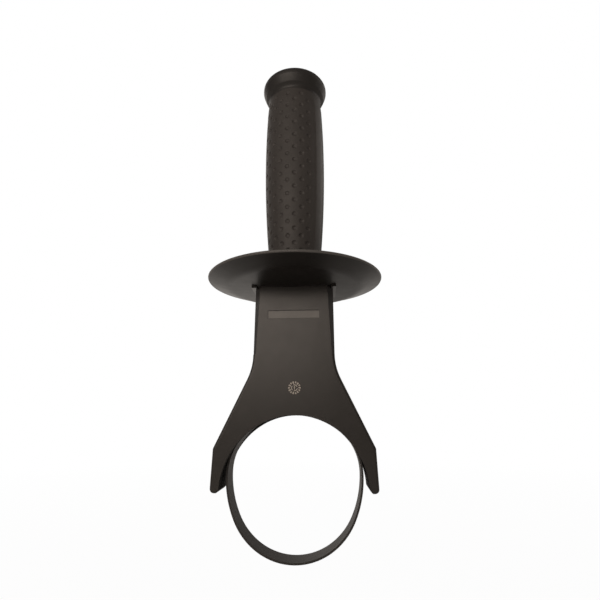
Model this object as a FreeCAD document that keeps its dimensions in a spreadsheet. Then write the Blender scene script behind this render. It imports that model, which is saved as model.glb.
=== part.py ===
import FreeCAD, Part
import math
import os

import Sketcher

# Power tool side handle, in millimetres.
# Z runs along the grip, Y along the axis of the tool's collar, and the origin is the centre of the
# round lower part of the band loop. Turning the grip on the rod's thread draws the rod, the anchor
# block and the band up into the bracket, which clamps the collar against the bracket's saddle.

SIZES = {
    # band loop
    "collar_radius": 32.0,
    "wrap_angle": 65.0,
    "loop_half_width": 33.6,
    "shoulder_radius": 27.0,
    "shoulder_angle": 39.2,
    "crown_radius": 39.0,
    "bend_radius": 2.0,
    "band_thickness": 1.0,
    "band_width": 13.0,
    "tail_height": 15.0,
    # anchor block, rivets and rod
    "block_thickness": 11.0,
    "block_height": 20.0,
    "block_edge": 1.0,
    "block_rise": 0.5,
    "rivet_radius": 1.6,
    "rivet_spacing": 6.4,
    "rivet_rise": 5.0,
    "rod_radius": 4.0,
    "rod_reach": 33.5,
    "rod_entry": 10.0,
    "rod_tip": 1.0,
    "travel": 8.0,
    # bracket
    "saddle_radius": 37.25,
    "saddle_drop": 1.1,
    "bracket_depth": 22.5,
    "neck_half_width": 21.65,
    "knee_height": 60.5,
    "flare_radius": 30.0,
    "corner_reach": 3.8,
    "corner_height": 20.0,
    "corner_round": 2.5,
    "tip_reach": 4.5,
    "tip_drop": 0.9,
    "tip_round": 2.1,
    "toe_bevel": 1.5,
    "rim_round": 1.4,
    "bevel_top": 3.4,
    "bevel_bottom": 1.5,
    "bevel_ratio": 1.6,
    "chamber_radius": 37.0,
    "core_inner": 9.5,
    "core_outer": 17.5,
    "deck_thickness": 10.0,
    "lip_width": 1.7,
    "lip_height": 1.0,
    "label_width": 28.2,
    "label_height": 4.6,
    "label_drop": 15.0,
    "label_depth": 0.5,
    # hand guard
    "seat_height": 103.95,
    "seat_angle": 3.5,
    "guard_radius": 49.3,
    "crease_radius": 38.0,
    "crease_round": 5.0,
    "flange_angle": 19.0,
    "guard_thickness": 2.0,
    "rim_thickness": 1.6,
    "rim_bevel": 0.5,
    "hub_radius": 18.5,
    # thrust washer and insert
    "washer_radius": 10.0,
    "washer_thickness": 1.6,
    "insert_width": 13.0,
    "insert_length": 24.0,
    # grip
    "foot_height": 2.5,
    "foot_bevel": 0.8,
    "waist_rise": 18.6,
    "waist_curve": 70.0,
    "belly_rise": 62.0,
    "belly_radius": 18.3,
    "belly_curve": 690.0,
    "neck_rise": 34.0,
    "throat_drop": 3.2,
    "head_rise": 19.0,
    "head_radius": 20.3,
    "head_overhang": 4.4,
    "head_under": 3.2,
    "head_round": 4.2,
    "brow_angle": 65.0,
    "dome_height": 0.8,
    "rod_end_gap": 4.0,
    # clearances
    "slide_gap": 0.4,
    "bore_gap": 0.5,
    "turn_gap": 0.3,
    "thread_gap": 0.05,
    "fit_gap": 0.02,
}

doc = FreeCAD.newDocument("side_handle")
sheet = doc.addObject("Spreadsheet::Sheet", "sizes")
for row, (alias, size) in enumerate(SIZES.items(), start=1):
    sheet.set("A%d" % row, alias)
    sheet.set("B%d" % row, str(size))
    sheet.setAlias("B%d" % row, alias)
doc.recompute()


def value(expression):
    """Number that an expression on the sheet's cells gives now."""
    return float(sheet.evalExpression(expression))


def plane_of(body, role):
    """Origin plane of a body, such as XZ_Plane."""
    for feature in body.Origin.OriginFeatures:
        if feature.Role == role:
            return feature
    raise ValueError(role)


def new_body(name):
    body = doc.addObject("PartDesign::Body", name)
    body.Label = name
    return body


def new_sketch(body, name, role, offset=None):
    """Sketch on an origin plane of its body, moved along the plane's normal by an expression."""
    sketch = body.newObject("Sketcher::SketchObject", name)
    sketch.AttachmentSupport = [(plane_of(body, role), "")]
    sketch.MapMode = "FlatFace"
    if offset:
        sketch.setExpression("AttachmentOffset.Base.z", offset)
    return sketch


def bind(sketch, constraint, name, expression):
    """Add a dimension to a sketch and tie it to the sheet."""
    index = sketch.addConstraint(constraint)
    sketch.renameConstraint(index, name)
    sketch.setExpression("Constraints." + name, expression)


def pin_point(sketch, geometry, end, name, place):
    """Fix one end of an edge at a place given by two expressions."""
    across, up = place
    if across == "0":
        sketch.addConstraint(Sketcher.Constraint("PointOnObject", geometry, end, -2))
    else:
        dimension = Sketcher.Constraint("DistanceX", -1, 1, geometry, end, value(across))
        bind(sketch, dimension, name + "_x", across)
    if up == "0":
        sketch.addConstraint(Sketcher.Constraint("PointOnObject", geometry, end, -1))
    else:
        dimension = Sketcher.Constraint("DistanceY", -1, 1, geometry, end, value(up))
        bind(sketch, dimension, name + "_y", up)


def draw_outline(sketch, corners, edges):
    """Closed outline. Each edge is (start, end) for a line, or (start, end, radius, side) for an arc
    shorter than a half turn whose centre lies on that side of the way from start to end."""
    where = {}
    for name, (across, up) in corners.items():
        where[name] = FreeCAD.Vector(value(across), value(up), 0)
    joined = {}
    for edge in edges:
        start, end = where[edge[0]], where[edge[1]]
        if len(edge) == 2:
            geometry = sketch.addGeometry(Part.LineSegment(start, end), False)
            ends = (1, 2)
        else:
            radius = value(edge[2])
            chord = end.sub(start)
            height = math.sqrt(radius ** 2 - (chord.Length / 2) ** 2)
            left = FreeCAD.Vector(-chord.y, chord.x, 0).normalize()
            turn = 1 if edge[3] == "left" else -1
            centre = (start + end) * 0.5 + left * (height * turn)
            first, last = (start, end) if turn == 1 else (end, start)
            ends = (1, 2) if turn == 1 else (2, 1)
            circle = Part.Circle(centre, FreeCAD.Vector(0, 0, 1), radius)
            angles = [math.atan2(p.y - centre.y, p.x - centre.x) for p in (first, last)]
            geometry = sketch.addGeometry(Part.ArcOfCircle(circle, angles[0], angles[1]), False)
            size = Sketcher.Constraint("Radius", geometry, radius)
            bind(sketch, size, "radius_%s_%s" % (edge[0], edge[1]), edge[2])
        for name, end_index in zip(edge[:2], ends):
            if name in joined:
                other, other_end = joined[name]
                meet = Sketcher.Constraint("Coincident", geometry, end_index, other, other_end)
                sketch.addConstraint(meet)
            else:
                joined[name] = (geometry, end_index)
                pin_point(sketch, geometry, end_index, name, corners[name])


def draw_polygon(sketch, corners):
    """Closed outline of straight lines, in the order of its corners."""
    names = list(corners)
    draw_outline(sketch, corners, list(zip(names, names[1:] + names[:1])))


def draw_box(sketch, low_x, high_x, low_y, high_y):
    corners = {"a": (low_x, low_y), "b": (high_x, low_y), "c": (high_x, high_y), "d": (low_x, high_y)}
    draw_polygon(sketch, corners)


def draw_circle(sketch, name, across, up, radius):
    centre = FreeCAD.Vector(value(across), value(up), 0)
    circle = Part.Circle(centre, FreeCAD.Vector(0, 0, 1), value(radius))
    geometry = sketch.addGeometry(circle, False)
    bind(sketch, Sketcher.Constraint("Radius", geometry, value(radius)), name + "_radius", radius)
    pin_point(sketch, geometry, 3, name, (across, up))


def add_feature(body, kind, name, sketch, sizes=None, **settings):
    """PartDesign feature on a sketch, with its sizes tied to the sheet."""
    feature = body.newObject("PartDesign::" + kind, name)
    feature.Profile = sketch
    for key, setting in settings.items():
        setattr(feature, key, setting)
    for key, expression in (sizes or {}).items():
        feature.setExpression(key, expression)
    doc.recompute()
    return feature


def revolve(body, kind, name, sketch):
    return add_feature(body, kind, name, sketch, ReferenceAxis=(sketch, ["V_Axis"]), Angle=360.0)


def mirror(body, name, originals, role):
    """Copy features to the other side of an origin plane."""
    copy = body.newObject("PartDesign::Mirrored", name)
    copy.Originals = originals
    copy.MirrorPlane = (plane_of(body, role), [""])
    body.Tip = copy
    doc.recompute()
    return copy


def edge_names(body, rule):
    shape = body.Tip.Shape
    return ["Edge%d" % number for number, edge in enumerate(shape.Edges, start=1) if rule(edge)]


def round_edges(body, name, rule, radius, kind="Fillet", size="Radius"):
    """Fillet or chamfer on every edge of the body that the rule picks."""
    base = body.Tip
    names = edge_names(body, rule)
    if not names:
        raise ValueError(name + " finds no edge")
    feature = body.newObject("PartDesign::" + kind, name)
    feature.Base = (base, names)
    feature.setExpression(size, radius)
    doc.recompute()
    return feature


def near(a, b, slack=0.01):
    return abs(a - b) < slack


def lies_along_y(edge, x, z):
    """Edge parallel to Y at a given distance from the middle and height."""
    box = edge.BoundBox
    flat = box.XLength < 0.01 and box.ZLength < 0.01
    return flat and near(abs(box.Center.x), x) and near(box.Center.z, z)


def is_ring(edge, radius, height=None):
    """Whole circle about Z of a given radius and, if given, height."""
    box = edge.BoundBox
    if box.ZLength > 0.01 or not near(box.XMax, radius, 0.05) or not near(box.XMin, -radius, 0.05):
        return False
    return height is None or near(box.ZMin, height, 0.05)


# Shared places, worked out from the sizes

# Side arc of the loop, from the end of the round part to the loop's widest place.
SIDE_RADIUS = ("((sizes.loop_half_width - sizes.collar_radius * sin(sizes.wrap_angle))"
               " / (1 - sin(sizes.wrap_angle)))")
WIDEST_HEIGHT = "((%s - sizes.collar_radius) * cos(sizes.wrap_angle))" % SIDE_RADIUS
# Centre of the crown arc, and of the bend between crown and tail.
CROWN_ARM = "(sizes.crown_radius - sizes.shoulder_radius)"
CROWN_X = ("(sizes.loop_half_width - sizes.shoulder_radius - %s * cos(sizes.shoulder_angle))"
           % CROWN_ARM)
CROWN_Z = "(%s - %s * sin(sizes.shoulder_angle))" % (WIDEST_HEIGHT, CROWN_ARM)
BEND_X = "(sizes.block_thickness / 2 + sizes.band_thickness + sizes.bend_radius)"
BEND_REACH = "(sizes.crown_radius + sizes.band_thickness + sizes.bend_radius)"
BEND_RUN = "(%s - %s)" % (BEND_X, CROWN_X)
BEND_RISE = "sqrt(%s * %s - %s * %s)" % (BEND_REACH, BEND_REACH, BEND_RUN, BEND_RUN)
BEND_Z = "(%s + %s)" % (CROWN_Z, BEND_RISE)

BLOCK_BOTTOM = "(%s + sizes.block_rise)" % BEND_Z
BLOCK_TOP = "(%s + sizes.block_height)" % BLOCK_BOTTOM
ROD_BOTTOM = "(%s - sizes.rod_entry)" % BLOCK_TOP
RIVET_HEIGHT = "(%s + sizes.rivet_rise)" % BLOCK_BOTTOM
ROD_BORE = "(sizes.rod_radius + sizes.bore_gap)"
HUB_TOP = "(sizes.seat_height + sizes.hub_radius * tan(sizes.seat_angle) + sizes.guard_thickness)"
WASHER_TOP = "(%s + sizes.washer_thickness)" % HUB_TOP
INSERT_BOTTOM = "(%s + sizes.turn_gap)" % WASHER_TOP
ROD_TOP = "(%s + sizes.rod_reach)" % INSERT_BOTTOM

# Half widths of the bracket at its corners and at the tips of its arms.
CORNER_X = "(sizes.saddle_radius + sizes.corner_reach)"
TIP_X = "(sizes.saddle_radius + sizes.tip_reach)"

# Heights of the grip's waist, its widest place, the end of its belly and the rim of its head.
GRIP_BOTTOM = "(%s + sizes.turn_gap)" % HUB_TOP
WAIST_Z = "(%s + sizes.waist_rise)" % GRIP_BOTTOM
BELLY_Z = "(%s + sizes.belly_rise)" % WAIST_Z
NECK_Z = "(%s + sizes.neck_rise)" % BELLY_Z
HEAD_Z = "(%s + sizes.head_rise)" % NECK_Z


def opposite(expression):
    return "-(%s)" % expression


def build_band():
    """Steel strip bent to a loop, with two tails that stand side by side in the bracket."""
    body = new_body("clamp_band")
    sketch = new_sketch(body, "band_outline", "XZ_Plane")
    corners = {}
    edges = {"inner": [], "outer": []}
    for skin, extra in (("inner", "0"), ("outer", "sizes.band_thickness")):
        loop = "(sizes.collar_radius + %s)" % extra
        side = "(%s + %s)" % (SIDE_RADIUS, extra)
        shoulder = "(sizes.shoulder_radius + %s)" % extra
        crown = "(sizes.crown_radius + %s)" % extra
        bend = "(sizes.bend_radius + sizes.band_thickness - %s)" % extra
        tail_x = "(sizes.block_thickness / 2 + %s)" % extra
        places = [
            ("wrap", loop + " * sin(sizes.wrap_angle)", opposite(loop + " * cos(sizes.wrap_angle)")),
            ("widest", "sizes.loop_half_width + " + extra, WIDEST_HEIGHT),
            ("shoulder",
             "sizes.loop_half_width - sizes.shoulder_radius + %s * cos(sizes.shoulder_angle)" % shoulder,
             "%s + %s * sin(sizes.shoulder_angle)" % (WIDEST_HEIGHT, shoulder)),
            ("crown",
             "%s + %s * %s / %s" % (CROWN_X, crown, BEND_RUN, BEND_REACH),
             "%s + %s * %s / %s" % (CROWN_Z, crown, BEND_RISE, BEND_REACH)),
            ("bend", tail_x, BEND_Z),
            ("tail", tail_x, "%s + sizes.tail_height" % BEND_Z),
        ]
        corners[skin + "_bottom"] = ("0", opposite(loop))
        for hand, flip in (("right", str), ("left", opposite)):
            for name, across, up in places:
                corners["%s_%s_%s" % (skin, hand, name)] = (flip(across), up)
            names = [skin + "_bottom"] + ["%s_%s_%s" % (skin, hand, place[0]) for place in places]
            ahead, back = ("left", "right") if hand == "right" else ("right", "left")
            radii = [(loop, ahead), (side, ahead), (shoulder, ahead), (crown, ahead), (bend, back)]
            for start, end, (radius, centre_side) in zip(names, names[1:], radii):
                edges[skin].append((start, end, radius, centre_side))
            edges[skin].append((names[-2], names[-1]))
    caps = []
    for hand in ("right", "left"):
        caps.append(("inner_%s_tail" % hand, "outer_%s_tail" % hand))
    draw_outline(sketch, corners, edges["inner"] + edges["outer"] + caps)
    add_feature(body, "Pad", "band_strip", sketch, {"Length": "sizes.band_width"}, SideType="Symmetric")
    drill_rivet_holes(body)
    return body


def drill_rivet_holes(body):
    """Two cross holes for the rivets, side by side along Y."""
    sketch = new_sketch(body, body.Name + "_rivet_holes", "YZ_Plane")
    for name, side in (("front", "-1"), ("back", "1")):
        draw_circle(sketch, name, "%s * sizes.rivet_spacing / 2" % side, RIVET_HEIGHT,
                    "sizes.rivet_radius + sizes.fit_gap")
    add_feature(body, "Pocket", body.Name + "_rivet_bores", sketch, Type="ThroughAll",
                SideType="Symmetric")


def build_block():
    """Steel block between the tails, drilled from above for the rod."""
    body = new_body("anchor_block")
    sketch = new_sketch(body, "block_front", "XZ_Plane")
    half = "sizes.block_thickness / 2"
    draw_box(sketch, opposite(half), half, BLOCK_BOTTOM, BLOCK_TOP)
    add_feature(body, "Pad", "block_bar", sketch, {"Length": "sizes.band_width"}, SideType="Symmetric")
    bottom = value(BLOCK_BOTTOM)
    round_edges(body, "block_lead", lambda edge: near(edge.BoundBox.ZMax, bottom), "sizes.block_edge",
                "Chamfer", "Size")
    sketch = new_sketch(body, "rod_hole", "XY_Plane", BLOCK_TOP)
    draw_circle(sketch, "hole", "0", "0", "sizes.rod_radius + sizes.fit_gap")
    add_feature(body, "Pocket", "rod_socket", sketch, {"Length": "sizes.rod_entry"})
    drill_rivet_holes(body)
    return body


def build_rivet(name, side):
    """Rivet through both tails and the block, filed flush."""
    body = new_body(name)
    sketch = new_sketch(body, name + "_section", "YZ_Plane")
    draw_circle(sketch, "shank", "%s * sizes.rivet_spacing / 2" % side, RIVET_HEIGHT,
                "sizes.rivet_radius")
    add_feature(body, "Pad", name + "_shank", sketch,
                {"Length": "sizes.block_thickness + 2 * sizes.band_thickness"}, SideType="Symmetric")
    return body


def build_rod():
    """Rod that is fixed in the block and threaded into the grip's insert."""
    body = new_body("tension_rod")
    sketch = new_sketch(body, "rod_profile", "XZ_Plane")
    tip_radius = "sizes.rod_radius - sizes.rod_tip"
    draw_polygon(sketch, {
        "axis_bottom": ("0", ROD_BOTTOM),
        "bottom": ("sizes.rod_radius", ROD_BOTTOM),
        "shoulder": ("sizes.rod_radius", ROD_TOP + " - sizes.rod_tip"),
        "tip": (tip_radius, ROD_TOP),
        "axis_top": ("0", ROD_TOP),
    })
    revolve(body, "Revolution", "rod_bar", sketch)
    return body


def build_bracket():
    """Forked moulding: flat plates front and back, a half-round saddle, two arms and a hollow core."""
    body = new_body("bracket")
    sketch = new_sketch(body, "bracket_outline", "XZ_Plane")
    rough_top = "sizes.seat_height + 4"
    tip_height = "-sizes.tip_drop"
    heel_height = "(sizes.toe_bevel - sizes.tip_drop)"
    heel_rise = "(%s + sizes.saddle_drop)" % heel_height
    heel_x = "sqrt(sizes.saddle_radius * sizes.saddle_radius - %s * %s)" % (heel_rise, heel_rise)
    side = {
        "top": ("sizes.neck_half_width", rough_top),
        "knee": ("sizes.neck_half_width", "sizes.knee_height"),
        "corner": (CORNER_X, "sizes.corner_height"),
        "tip": (TIP_X, tip_height),
        "toe": (heel_x + " + 0.9 * sizes.toe_bevel", tip_height),
        "heel": (heel_x, heel_height),
    }
    corners = {"crown": ("0", "sizes.saddle_radius - sizes.saddle_drop")}
    edges = []
    for hand, flip in (("right", str), ("left", opposite)):
        for name, (across, up) in side.items():
            corners["%s_%s" % (hand, name)] = (flip(across), up)
        names = ["%s_%s" % (hand, name) for name in side]
        edges += list(zip(names, names[1:]))
        edges.append((names[-1], "crown", "sizes.saddle_radius", "left" if hand == "right" else "right"))
    edges.append(("right_top", "left_top"))
    draw_outline(sketch, corners, edges)
    add_feature(body, "Pad", "bracket_slab", sketch, {"Length": "sizes.bracket_depth"},
                SideType="Symmetric")
    shape_outline(body)
    bevel_neck(body)
    add_lips(body)
    cut_seat(body)
    hollow_out(body)
    recess_label(body)
    return body


def shape_outline(body):
    """Round the knees, the corners and the arms' tips, then the outer rims of both plates."""
    neck = value("sizes.neck_half_width")
    knee = value("sizes.knee_height")
    corner = (value(CORNER_X), value("sizes.corner_height"))
    tip = value(TIP_X)
    round_edges(body, "knees", lambda edge: lies_along_y(edge, neck, knee), "sizes.flare_radius")
    round_edges(body, "elbows", lambda edge: lies_along_y(edge, *corner), "sizes.corner_round")
    low = value("-sizes.tip_drop")
    round_edges(body, "tips", lambda edge: lies_along_y(edge, tip, low), "sizes.tip_round")
    face = value("sizes.bracket_depth / 2")
    saddle = value("sizes.saddle_radius + sizes.saddle_drop")
    top = value("sizes.seat_height + 4")

    def on_outer_rim(edge):
        box = edge.BoundBox
        flat = box.YLength < 0.01 and near(abs(box.YMin), face)
        middle = edge.valueAt((edge.FirstParameter + edge.LastParameter) / 2)
        outside = math.hypot(middle.x, middle.z) > saddle and abs(middle.x) > neck - 1
        return flat and outside and box.ZMin < top - 1 and box.XMin * box.XMax > 0 and abs(middle.x) < tip
    round_edges(body, "plate_rims", on_outer_rim, "sizes.rim_round")


def bevel_neck(body):
    """Tapered bevels on the four long edges of the neck, wider towards the guard."""
    slant = ("atan2(%s - sizes.neck_half_width; sizes.knee_height - sizes.corner_height)"
             % CORNER_X)
    start = "(sizes.knee_height + sizes.flare_radius * tan(%s / 2))" % slant
    sections = []
    for name, height, width in (("lower", start, "sizes.bevel_bottom"),
                                ("upper", "(sizes.seat_height + 4)", "sizes.bevel_top")):
        sketch = new_sketch(body, "bevel_" + name, "XY_Plane", height)
        front = "-(sizes.bracket_depth / 2)"
        draw_polygon(sketch, {
            "face": ("sizes.neck_half_width - " + width, front),
            "outside": ("sizes.neck_half_width + 1", front + " - 1"),
            "flank": ("sizes.neck_half_width", "%s + %s * sizes.bevel_ratio" % (front, width)),
        })
        sections.append(sketch)
    cut = add_feature(body, "SubtractiveLoft", "bevel", sections[0], Sections=[sections[1]], Ruled=True)
    bevels = body.newObject("PartDesign::MultiTransform", "bevels")
    copies = []
    for name, role in (("bevel_across", "YZ_Plane"), ("bevel_behind", "XZ_Plane")):
        copy = body.newObject("PartDesign::Mirrored", name)
        copy.MirrorPlane = (plane_of(body, role), [""])
        copies.append(copy)
    bevels.Originals = [cut]
    bevels.Transformations = copies
    body.Tip = bevels
    doc.recompute()


def add_lips(body):
    """Low lips along both flanks of the neck, just under the guard."""
    sketch = new_sketch(body, "lip_outline", "XZ_Plane")
    low = "sizes.seat_height + sizes.neck_half_width * tan(sizes.seat_angle) - sizes.lip_height"
    draw_box(sketch, "sizes.neck_half_width - 1", "sizes.neck_half_width + sizes.lip_width", low,
             "sizes.seat_height + 4")
    lip = add_feature(body, "Pad", "lip", sketch, {"Length": "sizes.bracket_depth"},
                      SideType="Symmetric")
    mirror(body, "lips", [lip], "YZ_Plane")


def cut_seat(body):
    """Shallow conical seat for the guard on top of the neck."""
    sketch = new_sketch(body, "seat_profile", "XZ_Plane")
    reach = "(sizes.neck_half_width + sizes.bracket_depth)"
    top = "sizes.seat_height + sizes.bracket_depth"
    draw_polygon(sketch, {
        "apex": ("0", "sizes.seat_height"),
        "brim": (reach, "sizes.seat_height + %s * tan(sizes.seat_angle)" % reach),
        "outer": (reach, top),
        "inner": ("0", top),
    })
    revolve(body, "Groove", "guard_seat", sketch)


def hollow_out(body):
    """Room for the band, the anchor block and the rod, and two cores that keep the walls even."""
    width = {"Length": "sizes.band_width + 2 * sizes.slide_gap"}
    crown = "(%s + sizes.travel)" % BEND_Z
    chamber_centre = "(%s - sizes.chamber_radius)" % crown
    sketch = new_sketch(body, "chamber_outline", "XZ_Plane")
    draw_circle(sketch, "chamber", "0", chamber_centre, "sizes.chamber_radius")
    add_feature(body, "Pocket", "band_chamber", sketch, width, SideType="Symmetric")
    half = "(sizes.block_thickness / 2 + sizes.band_thickness + sizes.slide_gap)"
    sketch = new_sketch(body, "slot_outline", "XZ_Plane")
    slot_top = "(%s + sizes.travel + sizes.slide_gap)" % BLOCK_TOP
    draw_box(sketch, opposite(half), half, BEND_Z, slot_top)
    add_feature(body, "Pocket", "block_slot", sketch, width, SideType="Symmetric")
    sketch = new_sketch(body, "core_outline", "XZ_Plane")
    core_top = "sizes.seat_height - sizes.deck_thickness"
    draw_box(sketch, "sizes.core_inner", "sizes.core_outer", BEND_Z, core_top)
    core = add_feature(body, "Pocket", "core", sketch, width, SideType="Symmetric")
    mirror(body, "cores", [core], "YZ_Plane")
    sketch = new_sketch(body, "bore_outline", "XY_Plane", slot_top + " - 1")
    draw_circle(sketch, "bore", "0", "0", ROD_BORE)
    add_feature(body, "Pocket", "rod_bore", sketch, {"Length": "sizes.seat_height"}, Reversed=True)


def recess_label(body):
    """Bare shallow recess on the front plate."""
    sketch = new_sketch(body, "label_outline", "XZ_Plane", "sizes.bracket_depth / 2")
    half = "(sizes.label_width / 2)"
    rise = "(sizes.label_height / 2)"
    middle = "(sizes.seat_height - sizes.label_drop)"
    draw_box(sketch, opposite(half), half, "%s - %s" % (middle, rise), "%s + %s" % (middle, rise))
    add_feature(body, "Pocket", "label_recess", sketch, {"Length": "sizes.label_depth"})


def build_guard():
    """Dished disc: a nearly flat middle, a soft crease and a flange that rises towards the grip."""
    body = new_body("hand_guard")
    sketch = new_sketch(body, "guard_profile", "XZ_Plane")
    slope = "tan(sizes.seat_angle)"
    crease = "(sizes.seat_height + sizes.crease_radius * %s)" % slope
    rim = "(%s + (sizes.guard_radius - sizes.crease_radius) * tan(sizes.flange_angle))" % crease
    draw_polygon(sketch, {
        "bore_bottom": (ROD_BORE, "sizes.seat_height + %s * %s" % (ROD_BORE, slope)),
        "crease_bottom": ("sizes.crease_radius", crease),
        "rim_bottom": ("sizes.guard_radius", rim),
        "rim_top": ("sizes.guard_radius", rim + " + sizes.rim_thickness"),
        "crease_top": ("sizes.crease_radius", crease + " + sizes.guard_thickness"),
        "hub_edge": ("sizes.hub_radius", HUB_TOP),
        "bore_top": (ROD_BORE, HUB_TOP),
    })
    revolve(body, "Revolution", "guard_disc", sketch)
    radius = value("sizes.crease_radius")
    round_edges(body, "soft_crease", lambda edge: is_ring(edge, radius), "sizes.crease_round")
    outer = value("sizes.guard_radius")
    round_edges(body, "rim_bevels", lambda edge: is_ring(edge, outer), "sizes.rim_bevel",
                "Chamfer", "Size")
    return body


def build_washer():
    body = new_body("thrust_washer")
    sketch = new_sketch(body, "washer_face", "XY_Plane", HUB_TOP)
    draw_circle(sketch, "outer", "0", "0", "sizes.washer_radius")
    draw_circle(sketch, "inner", "0", "0", ROD_BORE)
    add_feature(body, "Pad", "washer_disc", sketch, {"Length": "sizes.washer_thickness"})
    return body


def draw_hexagon(sketch):
    """Hexagon with its flats insert_width apart."""
    corners = {}
    for number in range(6):
        angle = 60 * number
        corners["hex_%d" % number] = ("sizes.insert_width / sqrt(3) * cos(%d)" % angle,
                                      "sizes.insert_width / sqrt(3) * sin(%d)" % angle)
    corners["hex_0"] = (corners["hex_0"][0], "0")
    corners["hex_3"] = (corners["hex_3"][0], "0")
    draw_polygon(sketch, corners)


def build_insert():
    """Long hexagonal nut, moulded into the grip."""
    body = new_body("grip_insert")
    sketch = new_sketch(body, "insert_hexagon", "XY_Plane", INSERT_BOTTOM)
    draw_hexagon(sketch)
    add_feature(body, "Pad", "insert_bar", sketch, {"Length": "sizes.insert_length"})
    sketch = new_sketch(body, "insert_hole", "XY_Plane", INSERT_BOTTOM)
    draw_circle(sketch, "thread", "0", "0", "sizes.rod_radius + sizes.thread_gap")
    add_feature(body, "Pocket", "insert_thread", sketch, Type="ThroughAll", Reversed=True)
    return body


def build_grip():
    """Barrel-shaped grip with a mushroom head, turned profile, with sockets for washer and insert."""
    body = new_body("grip")
    sketch = new_sketch(body, "grip_profile", "XZ_Plane")
    curve_squared = "sizes.belly_curve * sizes.belly_curve"
    waist_run = "sqrt(%s - sizes.belly_rise * sizes.belly_rise)" % curve_squared
    waist_r = "(sizes.belly_radius - sizes.belly_curve + %s)" % waist_run
    waist_centre_r = "(%s + sizes.waist_curve * %s / sizes.belly_curve)" % (waist_r, waist_run)
    waist_centre_z = "(%s - sizes.waist_curve * sizes.belly_rise / sizes.belly_curve)" % WAIST_Z
    foot_top = "(%s + sizes.foot_height)" % GRIP_BOTTOM
    drop = "(%s - %s)" % (waist_centre_z, foot_top)
    foot_r = "(%s - sqrt(sizes.waist_curve * sizes.waist_curve - %s * %s))" % (waist_centre_r, drop, drop)
    neck_run = "sqrt(%s - sizes.neck_rise * sizes.neck_rise)" % curve_squared
    neck_r = "(sizes.belly_radius - sizes.belly_curve + %s)" % neck_run
    # Underside of the head: a hollow arc from the throat, then a small round up to the rim.
    brow_run = "(sizes.head_overhang - sizes.head_under * (1 - cos(sizes.brow_angle)))"
    brow_z = "(%s - sizes.head_under * sin(sizes.brow_angle))" % HEAD_Z
    throat_r = "(sizes.head_radius - sizes.head_overhang)"
    hollow = "(1.08 * sqrt(%s * %s + sizes.throat_drop * sizes.throat_drop))" % (brow_run, brow_run)
    crown_r = "(sizes.head_radius - sizes.head_round)"
    crown_z = "(%s + sizes.head_round)" % HEAD_Z
    dome = ("((%s * %s + sizes.dome_height * sizes.dome_height) / (2 * sizes.dome_height))"
            % (crown_r, crown_r))
    draw_outline(sketch, {
        "axis_bottom": ("0", GRIP_BOTTOM),
        "foot": (foot_r + " - sizes.foot_bevel", GRIP_BOTTOM),
        "foot_bevel": (foot_r, GRIP_BOTTOM + " + sizes.foot_bevel"),
        "foot_top": (foot_r, foot_top),
        "waist": (waist_r, WAIST_Z),
        "neck": (neck_r, NECK_Z),
        "throat": (throat_r, brow_z + " - sizes.throat_drop"),
        "brow": ("%s + %s" % (throat_r, brow_run), brow_z),
        "rim": ("sizes.head_radius", HEAD_Z),
        "shoulder": (crown_r, crown_z),
        "summit": ("0", crown_z + " + sizes.dome_height"),
    }, [
        ("axis_bottom", "foot"),
        ("foot", "foot_bevel"),
        ("foot_bevel", "foot_top"),
        ("foot_top", "waist", "sizes.waist_curve", "right"),
        ("waist", "neck", "sizes.belly_curve", "left"),
        ("neck", "throat"),
        ("throat", "brow", hollow, "right"),
        ("brow", "rim", "sizes.head_under", "left"),
        ("rim", "shoulder", "sizes.head_round", "left"),
        ("shoulder", "summit", dome, "left"),
        ("summit", "axis_bottom"),
    ])
    revolve(body, "Revolution", "grip_barrel", sketch)
    sketch = new_sketch(body, "washer_socket_face", "XY_Plane", GRIP_BOTTOM)
    draw_circle(sketch, "socket", "0", "0", "sizes.washer_radius + sizes.turn_gap")
    add_feature(body, "Pocket", "washer_socket", sketch, {"Length": "sizes.washer_thickness"},
                Reversed=True)
    sketch = new_sketch(body, "insert_socket_face", "XY_Plane", GRIP_BOTTOM)
    draw_hexagon(sketch)
    add_feature(body, "Pocket", "insert_socket", sketch,
                {"Length": "sizes.washer_thickness + sizes.insert_length"}, Reversed=True)
    sketch = new_sketch(body, "rod_room_face", "XY_Plane", GRIP_BOTTOM)
    draw_circle(sketch, "room", "0", "0", ROD_BORE)
    bore_top = "(%s + sizes.travel + sizes.rod_end_gap)" % ROD_TOP
    add_feature(body, "Pocket", "rod_room", sketch, {"Length": "%s - %s" % (bore_top, GRIP_BOTTOM)},
                Reversed=True)
    return body


def main():
    bodies = [
        build_bracket(),
        build_band(),
        build_block(),
        build_rivet("rivet_front", "-1"),
        build_rivet("rivet_back", "1"),
        build_rod(),
        build_guard(),
        build_washer(),
        build_insert(),
        build_grip(),
    ]
    doc.recompute()
    for item in doc.Objects:
        if "Invalid" in item.State or "Error" in item.State:
            raise RuntimeError("%s failed: %s" % (item.Name, item.State))
    for body in bodies:
        if body.Shape.isNull() or not body.Shape.isValid() or not body.Shape.Solids:
            raise RuntimeError("%s has no valid solid" % body.Label)
    os.makedirs("parts", exist_ok=True)
    for body in bodies:
        body.Shape.exportStep("parts/%s.step" % body.Label)
        print("%-14s %9.1f mm3" % (body.Label, body.Shape.Volume))


main()
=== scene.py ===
import math

import bpy
from mathutils import Matrix, Vector


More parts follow.
